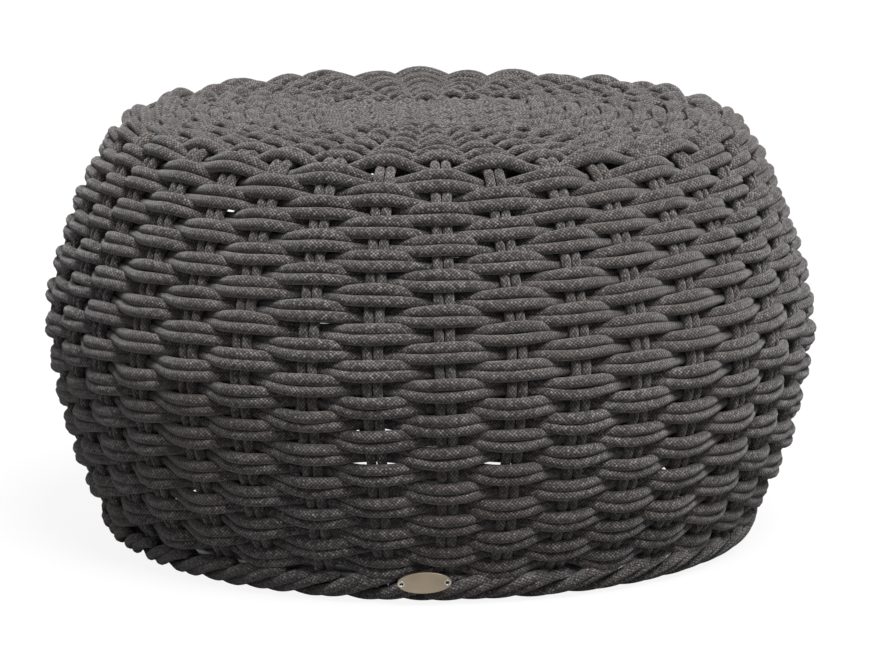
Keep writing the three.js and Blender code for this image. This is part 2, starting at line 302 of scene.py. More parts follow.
def shellPoints(across, along):
    stakes, crossRows, seatRows = shell["stakes"], shell["crossRows"], shell["seatRows"]
    side = np.floor(across / perSide)
    angle = side * pi / 2 + shell["turn"]
    place = (across / perSide - side - 0.5) * 2 * shell["crossHalf"]
    reach = shell["crossHalf"] * (1 + np.minimum(along, 0) / crossRows)
    inner = np.stack([
        reach * np.cos(angle) - place * np.sin(angle),
        reach * np.sin(angle) + place * np.cos(angle),
        np.full_like(reach, shell["seatHeight"]),
    ], -1)
    wall = wallCurve(shell["wallRows"] * shell["cellSteps"] + 1, shell["shoulderSag"])
    onWall = ((along - seatRows) * shell["cellSteps"]).clip(0).round().astype(int)
    around = (across / stakes) * 2 * pi - pi / 4 + shell["turn"]
    radius, height = wall[onWall, 0], wall[onWall, 1]
    outer = np.stack([radius * np.cos(around), radius * np.sin(around), height], -1)
    share = (along / seatRows).clip(0, 1)[..., None]
    points = inner * (1 - share) + outer * share
    middle = ((seatRows / 2 - along) / (seatRows / 2 + crossRows)).clip(0, 1)
    points[..., 2] += shell["crown"] * smooth(middle)
    return points, around


def shellDirections(points, around, along):  # down the shell, sideways and outward
    def unit(vectors):
        return vectors / np.linalg.norm(vectors, axis=2, keepdims=True)

    run = np.gradient(points, axis=1)
    run[:, 1:-1] = points[:, 2:] - points[:, :-2]
    run = unit(run)
    slide = np.stack([-np.sin(around), np.cos(around), np.zeros_like(around)], -1)
    upright = np.array([0.0, 0.0, 1.0])
    onSeat = along[..., None] < shell["seatRows"]
    lateral = unit(np.where(onSeat, np.cross(upright, run), slide))
    return run, lateral, unit(np.cross(run, lateral))


def makeShell():
    stakes, crossRows, fine = shell["stakes"], shell["crossRows"], shell["cellSteps"]
    u = np.arange(-fine, (stakes + 1) * fine + 1) / fine  # one stake more on either side
    v = np.arange(-crossRows * fine, lastRow * fine + 1) / fine
    across, along = np.meshgrid(u, v, indexing="ij")
    points, around = shellPoints(across, along)
    run, lateral, normal = shellDirections(points, around, along)
    draw = np.random.default_rng(shell["wanderSeed"])

    def wander(cell, offset=0):
        wide, high = shell[cell]
        rows, count = (along + crossRows) / high, round((lastRow + crossRows) / high)
        return smoothRandom(draw, across / wide - offset, rows, stakes // wide, count)[..., None]

    grip = smooth((along / shell["gripRows"]).clip(0, 1))[..., None]
    sway = wander("stakeWanderCell", 0.5)  # a stake stands half a number on
    drift = wander("rowWanderCell")
    dents = wander("dentCell")
    points = points + lateral * (shell["stakeWander"] * sway * grip)
    points = points + run * (shell["rowWander"] * drift * grip)
    points = points + normal * (shell["dents"] * dents)

    columns, rows = across.shape
    quads = [
        (i * rows + j, i * rows + j + 1, (i + 1) * rows + j + 1, (i + 1) * rows + j)
        for i in range(columns - 1)
        for j in range(rows - 1)
    ]
    mesh = bpy.data.meshes.new("shell")
    mesh.from_pydata(points.reshape(-1, 3).tolist(), [], quads)
    address = np.stack([*addressOf(across, along), np.zeros_like(across)], -1)
    fields = {"address": address, "outward": normal, "downward": run, "sideways": lateral}
    for name, field in fields.items():
        kept = mesh.attributes.new(name, "FLOAT_VECTOR", "POINT")
        kept.data.foreach_set("vector", field.reshape(-1).astype(np.float32))
    return newObject("shell", mesh)


guide = makeShell()
print("shell ready")


def onShell(net, source, stake, row):  # place and directions on the shell at a stake and row
    around = (stake / shell["stakes"]).fraction() * shell["stakes"]
    address = net.vector(*addressOf(around, row), 0)
    mesh = net.node("GeometryNodeObjectInfo", None, {"Object": source}).out("Geometry")
    vectors = {"data_type": "FLOAT_VECTOR"}

    def named(name):
        return net.node("GeometryNodeInputNamedAttribute", vectors, {"Name": name})

    def sampled(value):
        inputs = {0: mesh, 1: value, 2: named("address"), 3: address}
        return net.node("GeometryNodeSampleUVSurface", vectors, inputs)

    place = sampled(net.node("GeometryNodeInputPosition"))
    return place, sampled(named("outward")), sampled(named("downward")), sampled(named("sideways"))


ropeMesh = {
    "mapRadius": 0.0039,  # the rope radius that the braid is sized for
    "endSteps": 2,  # a rope rounds off over this many steps
    "weld": 0.000004,
}


def plainLine(net, count):  # its points get their places later
    inputs = {"Count": count, "Offset": (0.001, 0, 0)}
    line = net.node("GeometryNodeMeshLine", {"mode": "OFFSET"}, inputs)
    return net.node("GeometryNodeMeshToCurve", None, {"Mesh": line})


def plainLines(net, count, number):
    inputs = {"Points": net.node("GeometryNodePoints", None, {"Count": number})}
    inputs["Instance"] = plainLine(net, count)
    copies = net.node("GeometryNodeInstanceOnPoints", None, inputs)
    return net.node("GeometryNodeRealizeInstances", None, {"Geometry": copies})


def placesInPairs(index, count):  # number of the rope, of its pair, 0 or 1 in it, and the step
    rope = ((index + 0.5) / count).floor()
    pair = (rope * 0.5).floor()
    return rope, pair, (rope * 0.5 - pair) * 2, index - rope * count


def roundEnd(steps):  # 0 at a rope's end, which closes its tube, and 1 further on
    return (steps * (1 / ropeMesh["endSteps"])).least(1) ** 0.5


def sweep(net, curve, radius, sides, offset):  # a closed round rope along a curve, with its own map
    length = net.node("GeometryNodeSplineParameter").out("Length")
    path = net.keep(curve, "along", length)
    circle = {"Resolution": sides + 1, "Radius": 1.0, "Sweep Angle": 2 * pi}
    arc = net.node("GeometryNodeCurveArc", {"mode": "RADIUS"}, circle)
    turn = net.node("GeometryNodeSplineParameter").out("Index") / sides
    ring = net.keep(arc, "turn", turn)
    inputs = {"Curve": path, "Profile Curve": ring, "Scale": radius}
    tube = net.node("GeometryNodeCurveToMesh", None, inputs)
    around = 2 * pi * ropeMesh["mapRadius"]
    place = net.vector(ring.out("turn"), path.out("along") / around + offset, 0)
    return net.node(
        "GeometryNodeStoreNamedAttribute",
        {"data_type": "FLOAT2", "domain": "CORNER"},
        {"Geometry": tube, "Name": "UVMap", "Value": place},
    )


def finishTree(net, tubes, material):
    joined = net.node("GeometryNodeJoinGeometry")
    for tube in tubes:
        net.plug(joined.socket.node.inputs[0], tube)
    real = net.node("GeometryNodeRealizeInstances", None, {"Geometry": joined})
    inputs = {"Geometry": real, "Distance": ropeMesh["weld"]}
    closed = net.node("GeometryNodeMergeByDistance", None, inputs)
    soft = net.node("GeometryNodeSetShadeSmooth", None, {"Geometry": closed})
    inputs = {"Geometry": soft, "Material": material}
    dressed = net.node("GeometryNodeSetMaterial", None, inputs)
    net.node("NodeGroupOutput", None, {0: dressed})


ropeFinish = {
    "tones": {"stake rope": 1.14, "weaver rope": 1.08, "border rope": 1.06},
    "braidCells": 9,  # round the rope
    "yarnEnds": 0.45,  # height that a yarn keeps where it dives under the next, which also sets the painted shade there
    "stops": (  # how the yarns of the melange run from dark to light
        (0.0, (0.072, 0.063, 0.062)),
        (0.5, (0.195, 0.175, 0.172)),
        (0.9, (0.312, 0.287, 0.282)),
        (1.0, (0.410, 0.383, 0.374)),
    ),
    "warm": (0.190, 0.158, 0.132),
    "warmPatches": (9.0, 0.42, 0.68),  # scale, and the noise between which they fade in
    "warmShare": 0.3,
    "slowScale": 26.0,
    "slowTones": (0.75, 0.5),  # the least, and what the slow noise adds
    "fibreScale": 3200.0,
    "fibreFlecks": 0.35,
    "fibreRelief": 0.3,
    # painted shade: the share of the colour left in the hollows between yarns
    "valleyShade": 0.02,
    "roughness": 0.98,
    "crestRoughness": -0.12,  # what the top of a yarn adds
    "bump": 1.0,
    "bumpDepth": 0.0005,
    "sheen": 0.45,
    "sheenRoughness": 0.5,
    "gloss": 0.1,
}
metalFinish = {
    "grainScale": 400.0,
    "wornPatches": (30.0, 0.3, 0.75),
    "wornShare": 0.72,  # of the colour, where it is worn
    "grainRoughness": 0.22,
    "bump": 0.18,
    "bumpDepth": 0.0002,
    "metals": {  # colour, roughness and the grain's scale in three directions
        "satin aluminium": ((0.55, 0.56, 0.56), 0.42, (1, 1, 1)),
        "antique brass": ((0.325, 0.268, 0.199), 0.48, (0.12, 1, 1)),
        "bright steel": ((0.50, 0.49, 0.47), 0.3, (1, 1, 1)),
    },
}
plasticFinish = {
    "colour": (0.016, 0.016, 0.017),
    "scuffPatches": (60.0, 0.5, 0.75),
    "scuffTimes": 2.2,  # as pale, where it is scuffed
    "roughness": 0.5,
    "scuffRoughness": 0.25,
    "grainScale": 1500.0,
    "bump": 0.25,
    "bumpDepth": 0.0002,
}


def newMaterial(name):
    material = bpy.data.materials.new(name)
    material.use_nodes = True
    return material, Net(material.node_tree), material.node_tree.nodes["Principled BSDF"]


def addBump(net, shader, height, finish):
    bump = {"Height": height, "Strength": finish["bump"], "Distance": finish["bumpDepth"]}
    net.plug(shader.inputs["Normal"], net.node("ShaderNodeBump", None, bump))


def makeRopeMaterial(name):
    material, net, shader = newMaterial(name)
    uv = net.node("ShaderNodeUVMap", {"uv_map": "UVMap"})
    x = net.node("ShaderNodeSeparateXYZ", None, {0: uv})
    y = x.out("Y")
    # two sets of yarns wind round the rope in opposite ways and pass over each other in turn
    right, left = (x + y) * ropeFinish["braidCells"], (x - y) * ropeFinish["braidCells"]
    over = ((right.floor() + left.floor()) * 0.5).fraction().above(0.25)
    across = net.blend(right.fraction(), left.fraction(), over)
    along = net.blend(left.fraction(), right.fraction(), over)
    ends = ropeFinish["yarnEnds"]
    height = (across * pi).sin() * (ends + (1 - ends) * (along * pi).sin())
    stitch = net.vector(right.floor(), left.floor(), 0)
    fleck = net.node("ShaderNodeTexWhiteNoise", {"noise_dimensions": "2D"}, {"Vector": stitch})
    coords = net.node("ShaderNodeTexCoord").out("Object")
    warmScale, warmStart, warmEnd = ropeFinish["warmPatches"]
    slow = net.noise(coords, ropeFinish["slowScale"], 2.0)
    warm = net.noise(coords, warmScale, 1.0).ease(warmStart, warmEnd)
    fibre = net.noise(coords, ropeFinish["fibreScale"], 1.0)
    mixture = fleck + (fibre - 0.5) * ropeFinish["fibreFlecks"]
    base = net.node("ShaderNodeValToRGB", {"stops": ropeFinish["stops"]}, {0: mixture})
    base = net.colour(warm * ropeFinish["warmShare"], base, ropeFinish["warm"])
    darkest, more = ropeFinish["slowTones"]
    # painted shade: the colour darkens in the hollows between yarns and where a yarn dives under
    # the next, times a slow random tone
    shade = net.blend(ropeFinish["valleyShade"], 1, height) * (slow * more + darkest)
    shade = shade * ropeFinish["tones"][name]
    base = net.colour(1.0, base, net.vector(shade, shade, shade), "MULTIPLY")
    net.plug(shader.inputs["Base Color"], base)
    roughness = ropeFinish["roughness"] + height * ropeFinish["crestRoughness"]
    net.plug(shader.inputs["Roughness"], roughness)
    shader.inputs["Sheen Weight"].default_value = ropeFinish["sheen"]
    shader.inputs["Sheen Roughness"].default_value = ropeFinish["sheenRoughness"]
    shader.inputs["Specular IOR Level"].default_value = ropeFinish["gloss"]
    addBump(net, shader, height + fibre * ropeFinish["fibreRelief"], ropeFinish)
    return material


def makeMetalMaterial(name):
    colour, roughness, grain = metalFinish["metals"][name]
    material, net, shader = newMaterial(name)
    coords = net.node("ShaderNodeTexCoord").out("Object")
    streaks = net.node("ShaderNodeMapping", None, {"Vector": coords, "Scale": grain})
    fine = net.noise(streaks, metalFinish["grainScale"], 3.0)
    scale, start, end = metalFinish["wornPatches"]
    worn = tuple(part * metalFinish["wornShare"] for part in colour)
    patches = net.noise(coords, scale, 2.0).ease(start, end)
    net.plug(shader.inputs["Base Color"], net.colour(patches, colour, worn))
    roughness = roughness + (fine - 0.5) * metalFinish["grainRoughness"]
    net.plug(shader.inputs["Roughness"], roughness)
    shader.inputs["Metallic"].default_value = 1.0
    addBump(net, shader, fine, metalFinish)
    return material


def makePlasticMaterial(name):
    material, net, shader = newMaterial(name)
    coords = net.node("ShaderNodeTexCoord").out("Object")
    grain = net.noise(coords, plasticFinish["grainScale"], 2.0)
    scale, start, end = plasticFinish["scuffPatches"]
    scuff = net.noise(coords, scale, 3.0)
    colour = plasticFinish["colour"]
    pale = tuple(part * plasticFinish["scuffTimes"] for part in colour)
    net.plug(shader.inputs["Base Color"], net.colour(scuff.ease(start, end), colour, pale))
    roughness = plasticFinish["roughness"] + scuff * plasticFinish["scuffRoughness"]
    net.plug(shader.inputs["Roughness"], roughness)
    addBump(net, shader, grain, plasticFinish)
    return material


stakeRope = makeRopeMaterial("stake rope")
weaverRope = makeRopeMaterial("weaver rope")
borderRope = makeRopeMaterial("border rope")
frameMetal = makeMetalMaterial("satin aluminium")
plateMetal = makeMetalMaterial("antique brass")
eyeletMetal = makeMetalMaterial("bright steel")
glidePlastic = makePlasticMaterial("black plastic")
print("finishes ready")


weavers = {  # two rope pairs that chase each other down the shell
    "firstStake": 29,
    "firstRow": 0.62,
    "endRow": 36.3,
    "stepsPerStake": 8,
    "sides": 10,
    "fullRadius": 0.0044,  # over a stake
    "thinRadius": 0.0038,  # behind a stake
    "seatRadiusShare": 0.72,  # the rope is drawn tighter on the seat
    "seatSpacingShare": 0.52,  # and the two of a pair lie closer there
    "fullSpacing": 0.0086,
    "thinSpacing": 0.0044,
    "bulge": 0.0003,  # wider again halfway between two stakes
    "wallRise": 0.0062,
    "seatRise": 0.0058,
    "breadth": 0.08,  # makes the top of each arch broader
    "dip": 0.0003,
    "twist": 0.0020,  # behind a stake the lower rope lies further out than the upper one
    "slant": 0.0005,  # over a stake the rope rises a little to the right
    "ripple": 0.0002,
    # rows past the rim: the shoulder begins between the first two and ends between the last two
    "shoulderRows": (-1.5, 0.5, 2, 5),
    "shoulderShare": 0.06,  # how much fuller and wider apart the ropes lie on it
    "shoulderRise": 0.95,  # how much of its rise a rope keeps there
    "shoulderSpread": 0.0024,  # and how much further apart two ropes lie there behind a stake
    "jitter": 0.0011,
    "jitterShares": (0.7, 0.8, 0.15),  # of it sideways, outward and in the radius
    "mapShifts": (31.7, 9.3),  # of the braid, from weaver to weaver and from rope to rope
    "seeds": (5, 22),
}
weaverPieces = (  # shares of the weavers' length where each piece starts and ends
    ("seat", 0.0, 0.32),
    ("upper", 0.32, 0.56),
    ("belly", 0.56, 0.79),
    ("lower", 0.79, 1.0),
)
chaserStake = weavers["firstStake"] + shell["stakes"] // 2 + 1
weaverStarts = (("a", weavers["firstStake"]), ("b", chaserStake))


def makeWeaverTree():
    keys = (
        "firstRow", "stepsPerStake", "fullRadius", "thinRadius", "seatRadiusShare",
        "seatSpacingShare", "fullSpacing", "thinSpacing", "bulge", "wallRise", "seatRise",
        "breadth", "dip", "twist", "slant", "ripple", "shoulderShare", "shoulderRise",
        "shoulderSpread", "jitter",
    )
    net, size = newTree("chasing weaver", weavers, keys, {
        "Shell": "NodeSocketObject",
        "First Stake": 0.0,
        "Lead": 0.0,
        "Start Crossing": 0.0,
        "End Crossing": 1.0,
        "Seed": 0,
        "Material": "NodeSocketMaterial",
    })
    index = net.node("GeometryNodeInputIndex")
    count = (size["End Crossing"] - size["Start Crossing"]) * size["Steps Per Stake"] + 1
    start, full, past, end = (shell["seatRows"] + row for row in weavers["shoulderRows"])
    weaverShift, ropeShift = weavers["mapShifts"]
    tubes = []
    for side in (-1, 1):
        crossing = size["Start Crossing"] + index / size["Steps Per Stake"]
        # with two weavers, each comes down two rows in a turn
        row = size["First Row"] + 2 * (crossing + size["Lead"]) / shell["stakes"]
        stake = size["First Stake"] + crossing + 0.5
        place, outward, downward, _ = onShell(net, size["Shell"], stake, row)
        swing = (crossing * pi).cos()
        crest = swing * swing
        over = (swing + 1) * 0.5
        broad = swing * (1 + size["Breadth"] * (1 - crest))
        out = (row / shell["seatRows"]).least(1)
        onWall = out.ease(*shell["wallStart"])
        shoulder = row.ease(start, full) * (1 - row.ease(past, end))
        fuller = shoulder * size["Shoulder Share"]
        tight = net.blend(size["Seat Radius Share"], 1, onWall) + fuller
        close = net.blend(size["Seat Spacing Share"], 1, onWall) + fuller
        nearest = (crossing + 0.5).floor()
        strays = []
        for part, share in enumerate(weavers["jitterShares"]):
            random = net.random(nearest, size["Seed"] + (2 * part + (side + 1) // 2))
            strays.append(random * size["Jitter"] * crest * share)
        spacing = net.blend(size["Thin Spacing"], size["Full Spacing"], over)
        spacing = spacing + size["Bulge"] * (1 - crest)
        spacing = spacing + shoulder * (1 - over) * size["Shoulder Spread"]
        rise = net.blend(size["Seat Rise"], size["Wall Rise"], onWall) * broad
        rise = rise * (1 - shoulder * (1 - size["Shoulder Rise"]))
        rise = rise + (size["Twist"] * side - size["Dip"]) * (1 - over) * out
        slant = (crossing * pi).sin() * size["Slant"]
        slant = slant + (crossing * (2 * pi)).sin() * size["Ripple"]
        shift = spacing * close * (side / 2) + strays[0] - slant * out
        place = place + outward * (rise + strays[1]) + downward * shift
        inputs = {"Geometry": plainLine(net, count), "Position": place}
        curve = net.node("GeometryNodeSetPosition", None, inputs)
        radius = net.blend(size["Thin Radius"], size["Full Radius"], over) * tight + strays[2]
        radius = radius * roundEnd(index.least(count - 1 - index))
        mapShift = size["Lead"] * weaverShift + side * ropeShift
        tubes.append(sweep(net, curve, radius, weavers["sides"], mapShift))
    finishTree(net, tubes, size["Material"])
    return net


def crossingAt(share):  # pieces meet behind a stake, where the joint doesn't show
    total = int((weavers["endRow"] - weavers["firstRow"]) / 2 * shell["stakes"])
    return 2 * round(total * share / 2) - 1 if 0 < share < 1 else total * share


def makeWeavers():
    net = makeWeaverTree()
    for part, start, end in weaverPieces:
        for lead, (letter, firstStake) in enumerate(weaverStarts):
            name = f"{part}_weaver_{letter}"
            piece = grow(name + "_ropes", net, {
                "Shell": guide,
                "First Stake": float(firstStake),
                "Lead": float(lead),
                "Start Crossing": float(crossingAt(start)),
                "End Crossing": float(crossingAt(end)),
                "Seed": weavers["seeds"][lead],
                "Material": weaverRope,
            })
            finishPiece(piece, "weaver_rope", name)


makeWeavers()
print("weavers made")


stakeSizes = {  # rope pairs from foot to foot, woven through each other in the middle of the seat
    "stepsPerRow": 6,
    "sides": 10,
    "wallRadius": 0.0037,
    "crossRadius": 0.0037,
    "seatRadius": 0.0035,  # where the stakes crowd round the cross
    "wallSpacing": 0.0079,
    "crossSpacing": 0.0073,
    "seatSpacing": 0.0071,
    "crossRise": 0.0036,
    "wallSway": 0.0018,
    "seatSway": 0.0022,
    "crossEnd": (-0.6, 0.0),  # rows over which the cross's rise and dip ends
    "gatherRows": (-1.5, 0.0),  # where its sizes turn into the seat's
    "spreadRow": 0.5,  # where the seat's start to turn into the wall's, down to the rim
    "swayRows": (0.5, 3.0),  # rows over which the sway between the weavers sets in
    "mapShift": 7.13,  # of the braid from rope to rope
}


def makeStakeTree():
    keys = (
        "stepsPerRow", "wallRadius", "crossRadius", "seatRadius", "wallSpacing", "crossSpacing",
        "seatSpacing", "crossRise", "wallSway", "seatSway",
    )
    net, size = newTree("stakes through the cross", stakeSizes, keys, {
        "Shell": "NodeSocketObject",
        "First Stake": 0.0,
        "Material": "NodeSocketMaterial",
    })
    crossRows, seatRows = shell["crossRows"], shell["seatRows"]
    half = size["Steps Per Row"] * (lastRow + crossRows)
    count = half * 2 + 1
    curves = plainLines(net, count, 2 * perSide)
    index = net.node("GeometryNodeInputIndex")
    rope, number, second, step = placesInPairs(index, count)
    step = step - half
    near = step.above(-0.5)
    stake = size["First Stake"] + net.blend(3 * perSide - 1 - number, number, near)
    row = step.size() / size["Steps Per Row"] - crossRows
    place, outward, _, sideways = onShell(net, size["Shell"], stake + 0.5, row)
    # rises and dips in the cross, then is pushed in where a weaver passes over
    parity = -1 * (pi * (stake + (1 - near) * (perSide - 1))).cos()
    inCross = 1 - row.ease(*stakeSizes["crossEnd"])
    lift = parity * ((row + 0.5) * pi).cos() * size["Cross Rise"] * inCross
    turns = ((stake + shell["stakes"] - weavers["firstStake"]) / shell["stakes"]).fraction()
    phase = turns * 2 + weavers["firstRow"]
    crossed = (turns * (pi * shell["stakes"])).cos()
    onWall = (row / seatRows).ease(*shell["wallStart"])
    bend = net.blend(size["Seat Sway"], size["Wall Sway"], onWall)
    sway = -1 * crossed * ((row - phase) * pi).cos() * bend
    end = weavers["endRow"]
    sway = sway * row.ease(*stakeSizes["swayRows"]) * (1 - row.ease(end - 1, end))
    place = place + outward * (lift + sway)
    gather = row.ease(*stakeSizes["gatherRows"])
    out = row.ease(stakeSizes["spreadRow"], seatRows)
    spacing = net.blend(size["Cross Spacing"], size["Seat Spacing"], gather)
    spacing = net.blend(spacing, size["Wall Spacing"], out)
    radius = net.blend(size["Cross Radius"], size["Seat Radius"], gather)
    radius = net.blend(radius, size["Wall Radius"], out)
    side = (second * 2 - 1) * (near * 2 - 1)
    place = place + sideways * (spacing * side * 0.5)
    curve = net.node("GeometryNodeSetPosition", None, {"Geometry": curves, "Position": place})
    radius = radius * roundEnd(half - step.size())
    tube = sweep(net, curve, radius, stakeSizes["sides"], rope * stakeSizes["mapShift"])
    finishTree(net, [tube], size["Material"])
    return net


def makeStakes():
    net = makeStakeTree()
    for name, first in (("stake_across", 0), ("stake_along", perSide)):
        values = {"Shell": guide, "First Stake": float(first), "Material": stakeRope}
        piece = grow(name + "_ropes", net, values)
        finishPiece(piece, "stake_rope", *(f"{name}_{i + 1}" for i in range(perSide)))


makeStakes()
print("stakes made")


border = {  # each stake's ropes turn aside at the foot and lie over their neighbours
    "middleRadius": 0.2436,
    "middleHeight": 0.0131,
    "lean": radians(48),  # of the wall at the foot, from upright
    "halfWidth": 0.0105,
    "swell": 0.0052,
    "span": 1.85,  # stake pitches that one strand crosses
    "wrap": radians(235),  # how far it winds round the edge
    "wrapMiddle": 0.49,  # share of a strand at which it lies furthest out
    "ropeGap": 0.37,  # stake pitches between the two ropes of a pair
    "ropeRadius": 0.0042,
    "steps": 24,
    "sides": 10,
    "pitchStray": 0.04,  # random part of a pitch, and of the swell
    "swellStray": 0.12,
    "mapShift": 3.71,  # of the braid from rope to rope
    "seed": 3,
}


def makeBorderTree():
    keys = (
        "steps", "middleRadius", "middleHeight", "halfWidth", "swell", "span", "wrap", "ropeGap",
        "ropeRadius", "seed",
    )
    others = {"Strands": shell["stakes"], "Material": "NodeSocketMaterial"}
    net, size = newTree("rolled border", border, keys, others)
    count = size["Steps"] + 1
    curves = plainLines(net, count, size["Strands"] * 2)
    index = net.node("GeometryNodeInputIndex")
    rope, number, second, step = placesInPairs(index, count)
    share = step / size["Steps"]
    random = net.random(rope, size["Seed"])
    pitches = number + 0.5 + second * size["Rope Gap"] + (0.5 - share) * size["Span"]
    angle = (pitches + random * border["pitchStray"]) * (2 * pi / shell["stakes"])
    angle = angle + (shell["turn"] - pi / 4)
    wrap = (share - border["wrapMiddle"]) * size["Wrap"]
    down = wrap.sin() * size["Half Width"]
    out = wrap.cos() * size["Swell"] * (1 + random * border["swellStray"])
    lean = border["lean"]
    radius = size["Middle Radius"] - down * sin(lean) + out * cos(lean)
    height = size["Middle Height"] - down * cos(lean) - out * sin(lean)
    place = net.vector(radius * angle.cos(), radius * angle.sin(), height)
    curve = net.node("GeometryNodeSetPosition", None, {"Geometry": curves, "Position": place})
    radius = size["Rope Radius"] * roundEnd(share.least(1 - share) * size["Steps"])
    tube = sweep(net, curve, radius, border["sides"], rope * border["mapShift"])
    finishTree(net, [tube], size["Material"])
    return net


borderPiece = grow("base_border_ropes", makeBorderTree(), {"Material": borderRope})
finishPiece(borderPiece, "border_rope", "base_border")
bpy.data.objects.remove(guide)
print("border made")


tubes = {  # the frame of round aluminium tube
    "ringRadius": 0.008,
    "hoopRadius": 0.006,
    "ribRadius": 0.006,
    "beamRadius": 0.007,
    "ribInset": 0.0177,  # from the middle of the weave
    "ribs": 8,
    "ribSteps": 24,
    "ringSteps": 128,
    "roundness": 4,
}


def meshOf(name, curve):
    helper = newObject(name, curve)
    mesh = plainMesh(helper)
    bpy.data.objects.remove(helper)
    return mesh


def dress(mesh, material):
    mesh.materials.clear()
    mesh.materials.append(material)


def roundTube(name, points, radius, closed):
    curve = bpy.data.curves.new(name, "CURVE")
    curve.dimensions = "3D"
    curve.bevel_depth = radius
    curve.bevel_resolution = tubes["roundness"]
    curve.use_fill_caps = not closed
    spline = curve.splines.new("POLY")
    spline.points.add(len(points) - 1)
    for knot, point in zip(spline.points, points):
        knot.co = (*point, 1)
    spline.use_cyclic_u = closed
    mesh = meshOf(name, curve)
    mesh.name = name
    for face in mesh.polygons:
        face.use_smooth = True
    dress(mesh, frameMetal)
    return newObject(name, mesh)


def sizesOf(node):
    low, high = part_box(node)
    return (low + high) / 2, high - low


def ringReach(node, radius):
    return sizesOf(node)[1].x / 2 - radius


def anglesRound(steps):  # at equal steps round a circle
    return [2 * pi * i / steps for i in range(steps)]


def makeRings():
    for node, size in (("top_ring", "ring"), ("base_ring", "ring"), ("side_hoop", "hoop")):
        radius = tubes[size + "Radius"]
        reach, height = ringReach(node, radius), sizesOf(node)[0].z
        angles = anglesRound(tubes["ringSteps"])
        points = [(reach * cos(a), reach * sin(a), height) for a in angles]
        finishPiece(roundTube(node + "_tube", points, radius, True), "frame_metal", node)


def makeRibs():
    wall = wallCurve(shell["curveSteps"])
    along = np.gradient(wall, axis=0)
    along /= np.linalg.norm(along, axis=1, keepdims=True)
    inside = wall + np.stack([along[:, 1], -along[:, 0]], 1) * tubes["ribInset"]
    low, high = sizesOf("base_ring")[0].z, sizesOf("top_ring")[0].z
    heights = np.linspace(low, high, tubes["ribSteps"])
    radii = np.interp(heights, inside[::-1, 1], inside[::-1, 0])
    for i in range(tubes["ribs"]):
        angle = (i + 0.5) * 2 * pi / tubes["ribs"] + shell["turn"]
        points = [(r * cos(angle), r * sin(angle), z) for r, z in zip(radii, heights)]
        rib = roundTube(f"rib_{i + 1}_tube", points, tubes["ribRadius"], False)
        finishPiece(rib, "frame_metal", f"rib_{i + 1}")


def makeBeams():
    reach, height = ringReach("top_ring", tubes["ringRadius"]), sizesOf("seat_beam")[0].z
    turn = Matrix.Rotation(shell["turn"], 3, "Z")
    for node, start, end in (
        ("seat_beam", (0, -reach), (0, reach)),
        ("seat_arm_left", (-reach, 0), (0, 0)),
        ("seat_arm_right", (0, 0), (reach, 0)),
    ):
        points = [turn @ Vector((*spot, height)) for spot in (start, end)]
        beam = roundTube(node + "_tube", points, tubes["beamRadius"], False)
        finishPiece(beam, "frame_metal", node)


makeRings()
makeRibs()
makeBeams()
print("frame made")


def lathe(name, profile, steps, material):  # the profile is a loop, or starts and ends on the axis
    mesh = bmesh.new()
    rings = []
    for radius, height in profile:
        if radius == 0:
            rings.append([mesh.verts.new((0, 0, height))] * steps)
            continue
        spots = [(radius * cos(a), radius * sin(a), height) for a in anglesRound(steps)]
        rings.append([mesh.verts.new(spot) for spot in spots])
    pairs = list(zip(rings, rings[1:]))
    if profile[0][0]:
        pairs.append((rings[-1], rings[0]))
    for lower, upper in pairs:
        for i in range(steps):
            j = (i + 1) % steps
            corners = dict.fromkeys([lower[i], lower[j], upper[j], upper[i]])
            if len(corners) > 2:
                mesh.faces.new(list(corners))
    for face in mesh.faces:
        face.smooth = True
    bmesh.ops.recalc_face_normals(mesh, faces=mesh.faces)
    made = bpy.data.meshes.new(name)
    mesh.to_mesh(made)
    dress(made, material)
    return newObject(name, made)


def rounded(corners, size, steps=4):  # a profile with each corner turned into a small arc
    points = []
    for before, corner, after in zip(corners, corners[1:], corners[2:]):
        start = corner + (before - corner).normalized() * size
        end = corner + (after - corner).normalized() * size
        for i in range(steps + 1):
            t = i / steps
            points.append(start.lerp(corner, t).lerp(corner.lerp(end, t), t))
    return [corners[0], *points, corners[-1]]


glides = {
    "count": 8,
    "foot": 0.0095,
    "rim": 0.0119,
    "coneShare": 0.45,  # of the height, where the foot has widened to the rim
    "intoRing": 0.0004,  # how far the top goes past the CAD glide's
    "edge": 0.0011,
    "steps": 48,
}


def makeGlides():
    foot, rim = glides["foot"], glides["rim"]
    for i in range(glides["count"]):
        node = f"glide_{i + 1}"
        middle, extent = sizesOf(node)
        cone, top = extent.z * glides["coneShare"], extent.z + glides["intoRing"]
        corners = [(0, 0), (foot, 0), (rim, cone), (rim, top), (0, top)]
        profile = rounded([Vector(corner) for corner in corners], glides["edge"])
        piece = lathe(node + "_cap", profile, glides["steps"], glidePlastic)
        piece.data.transform(Matrix.Translation((middle.x, middle.y, 0)))
        finishPiece(piece, "glide_plastic", node)


plate = {
    "width": 0.040,
    "height": 0.018,
    "thickness": 0.0015,
    "edge": 0.0003,
    "roundness": 3,
    "holes": 0.0338,  # apart
    "holeRadius": 0.0019,
    "lean": radians(18),
    "tilt": radians(2.5),
    "out": 0.0046,  # from the CAD plate, clear of the rounder ropes
    "outerSteps": 96,
    "holeSteps": 32,
    "weld": 0.000002,
}
eyelets = {
    "bore": 0.00135,
    "rim": 0.0026,
    "rise": 0.0005,
    "gap": 0.0001,  # round the barrel in its hole
    "lip": (0.92, 0.72, 1.25),  # shares of the rim outside and on top, and of the bore inside
    "lipRise": 0.8,
    "steps": 40,
}


def plateLoop(curve, middle, across, up, steps, way):
    spline = curve.splines.new("POLY")
    spline.points.add(steps - 1)
    for knot, angle in zip(spline.points, anglesRound(steps)):
        knot.co = (middle + across * cos(angle), up * sin(angle * way), 0, 1)
    spline.use_cyclic_u = True


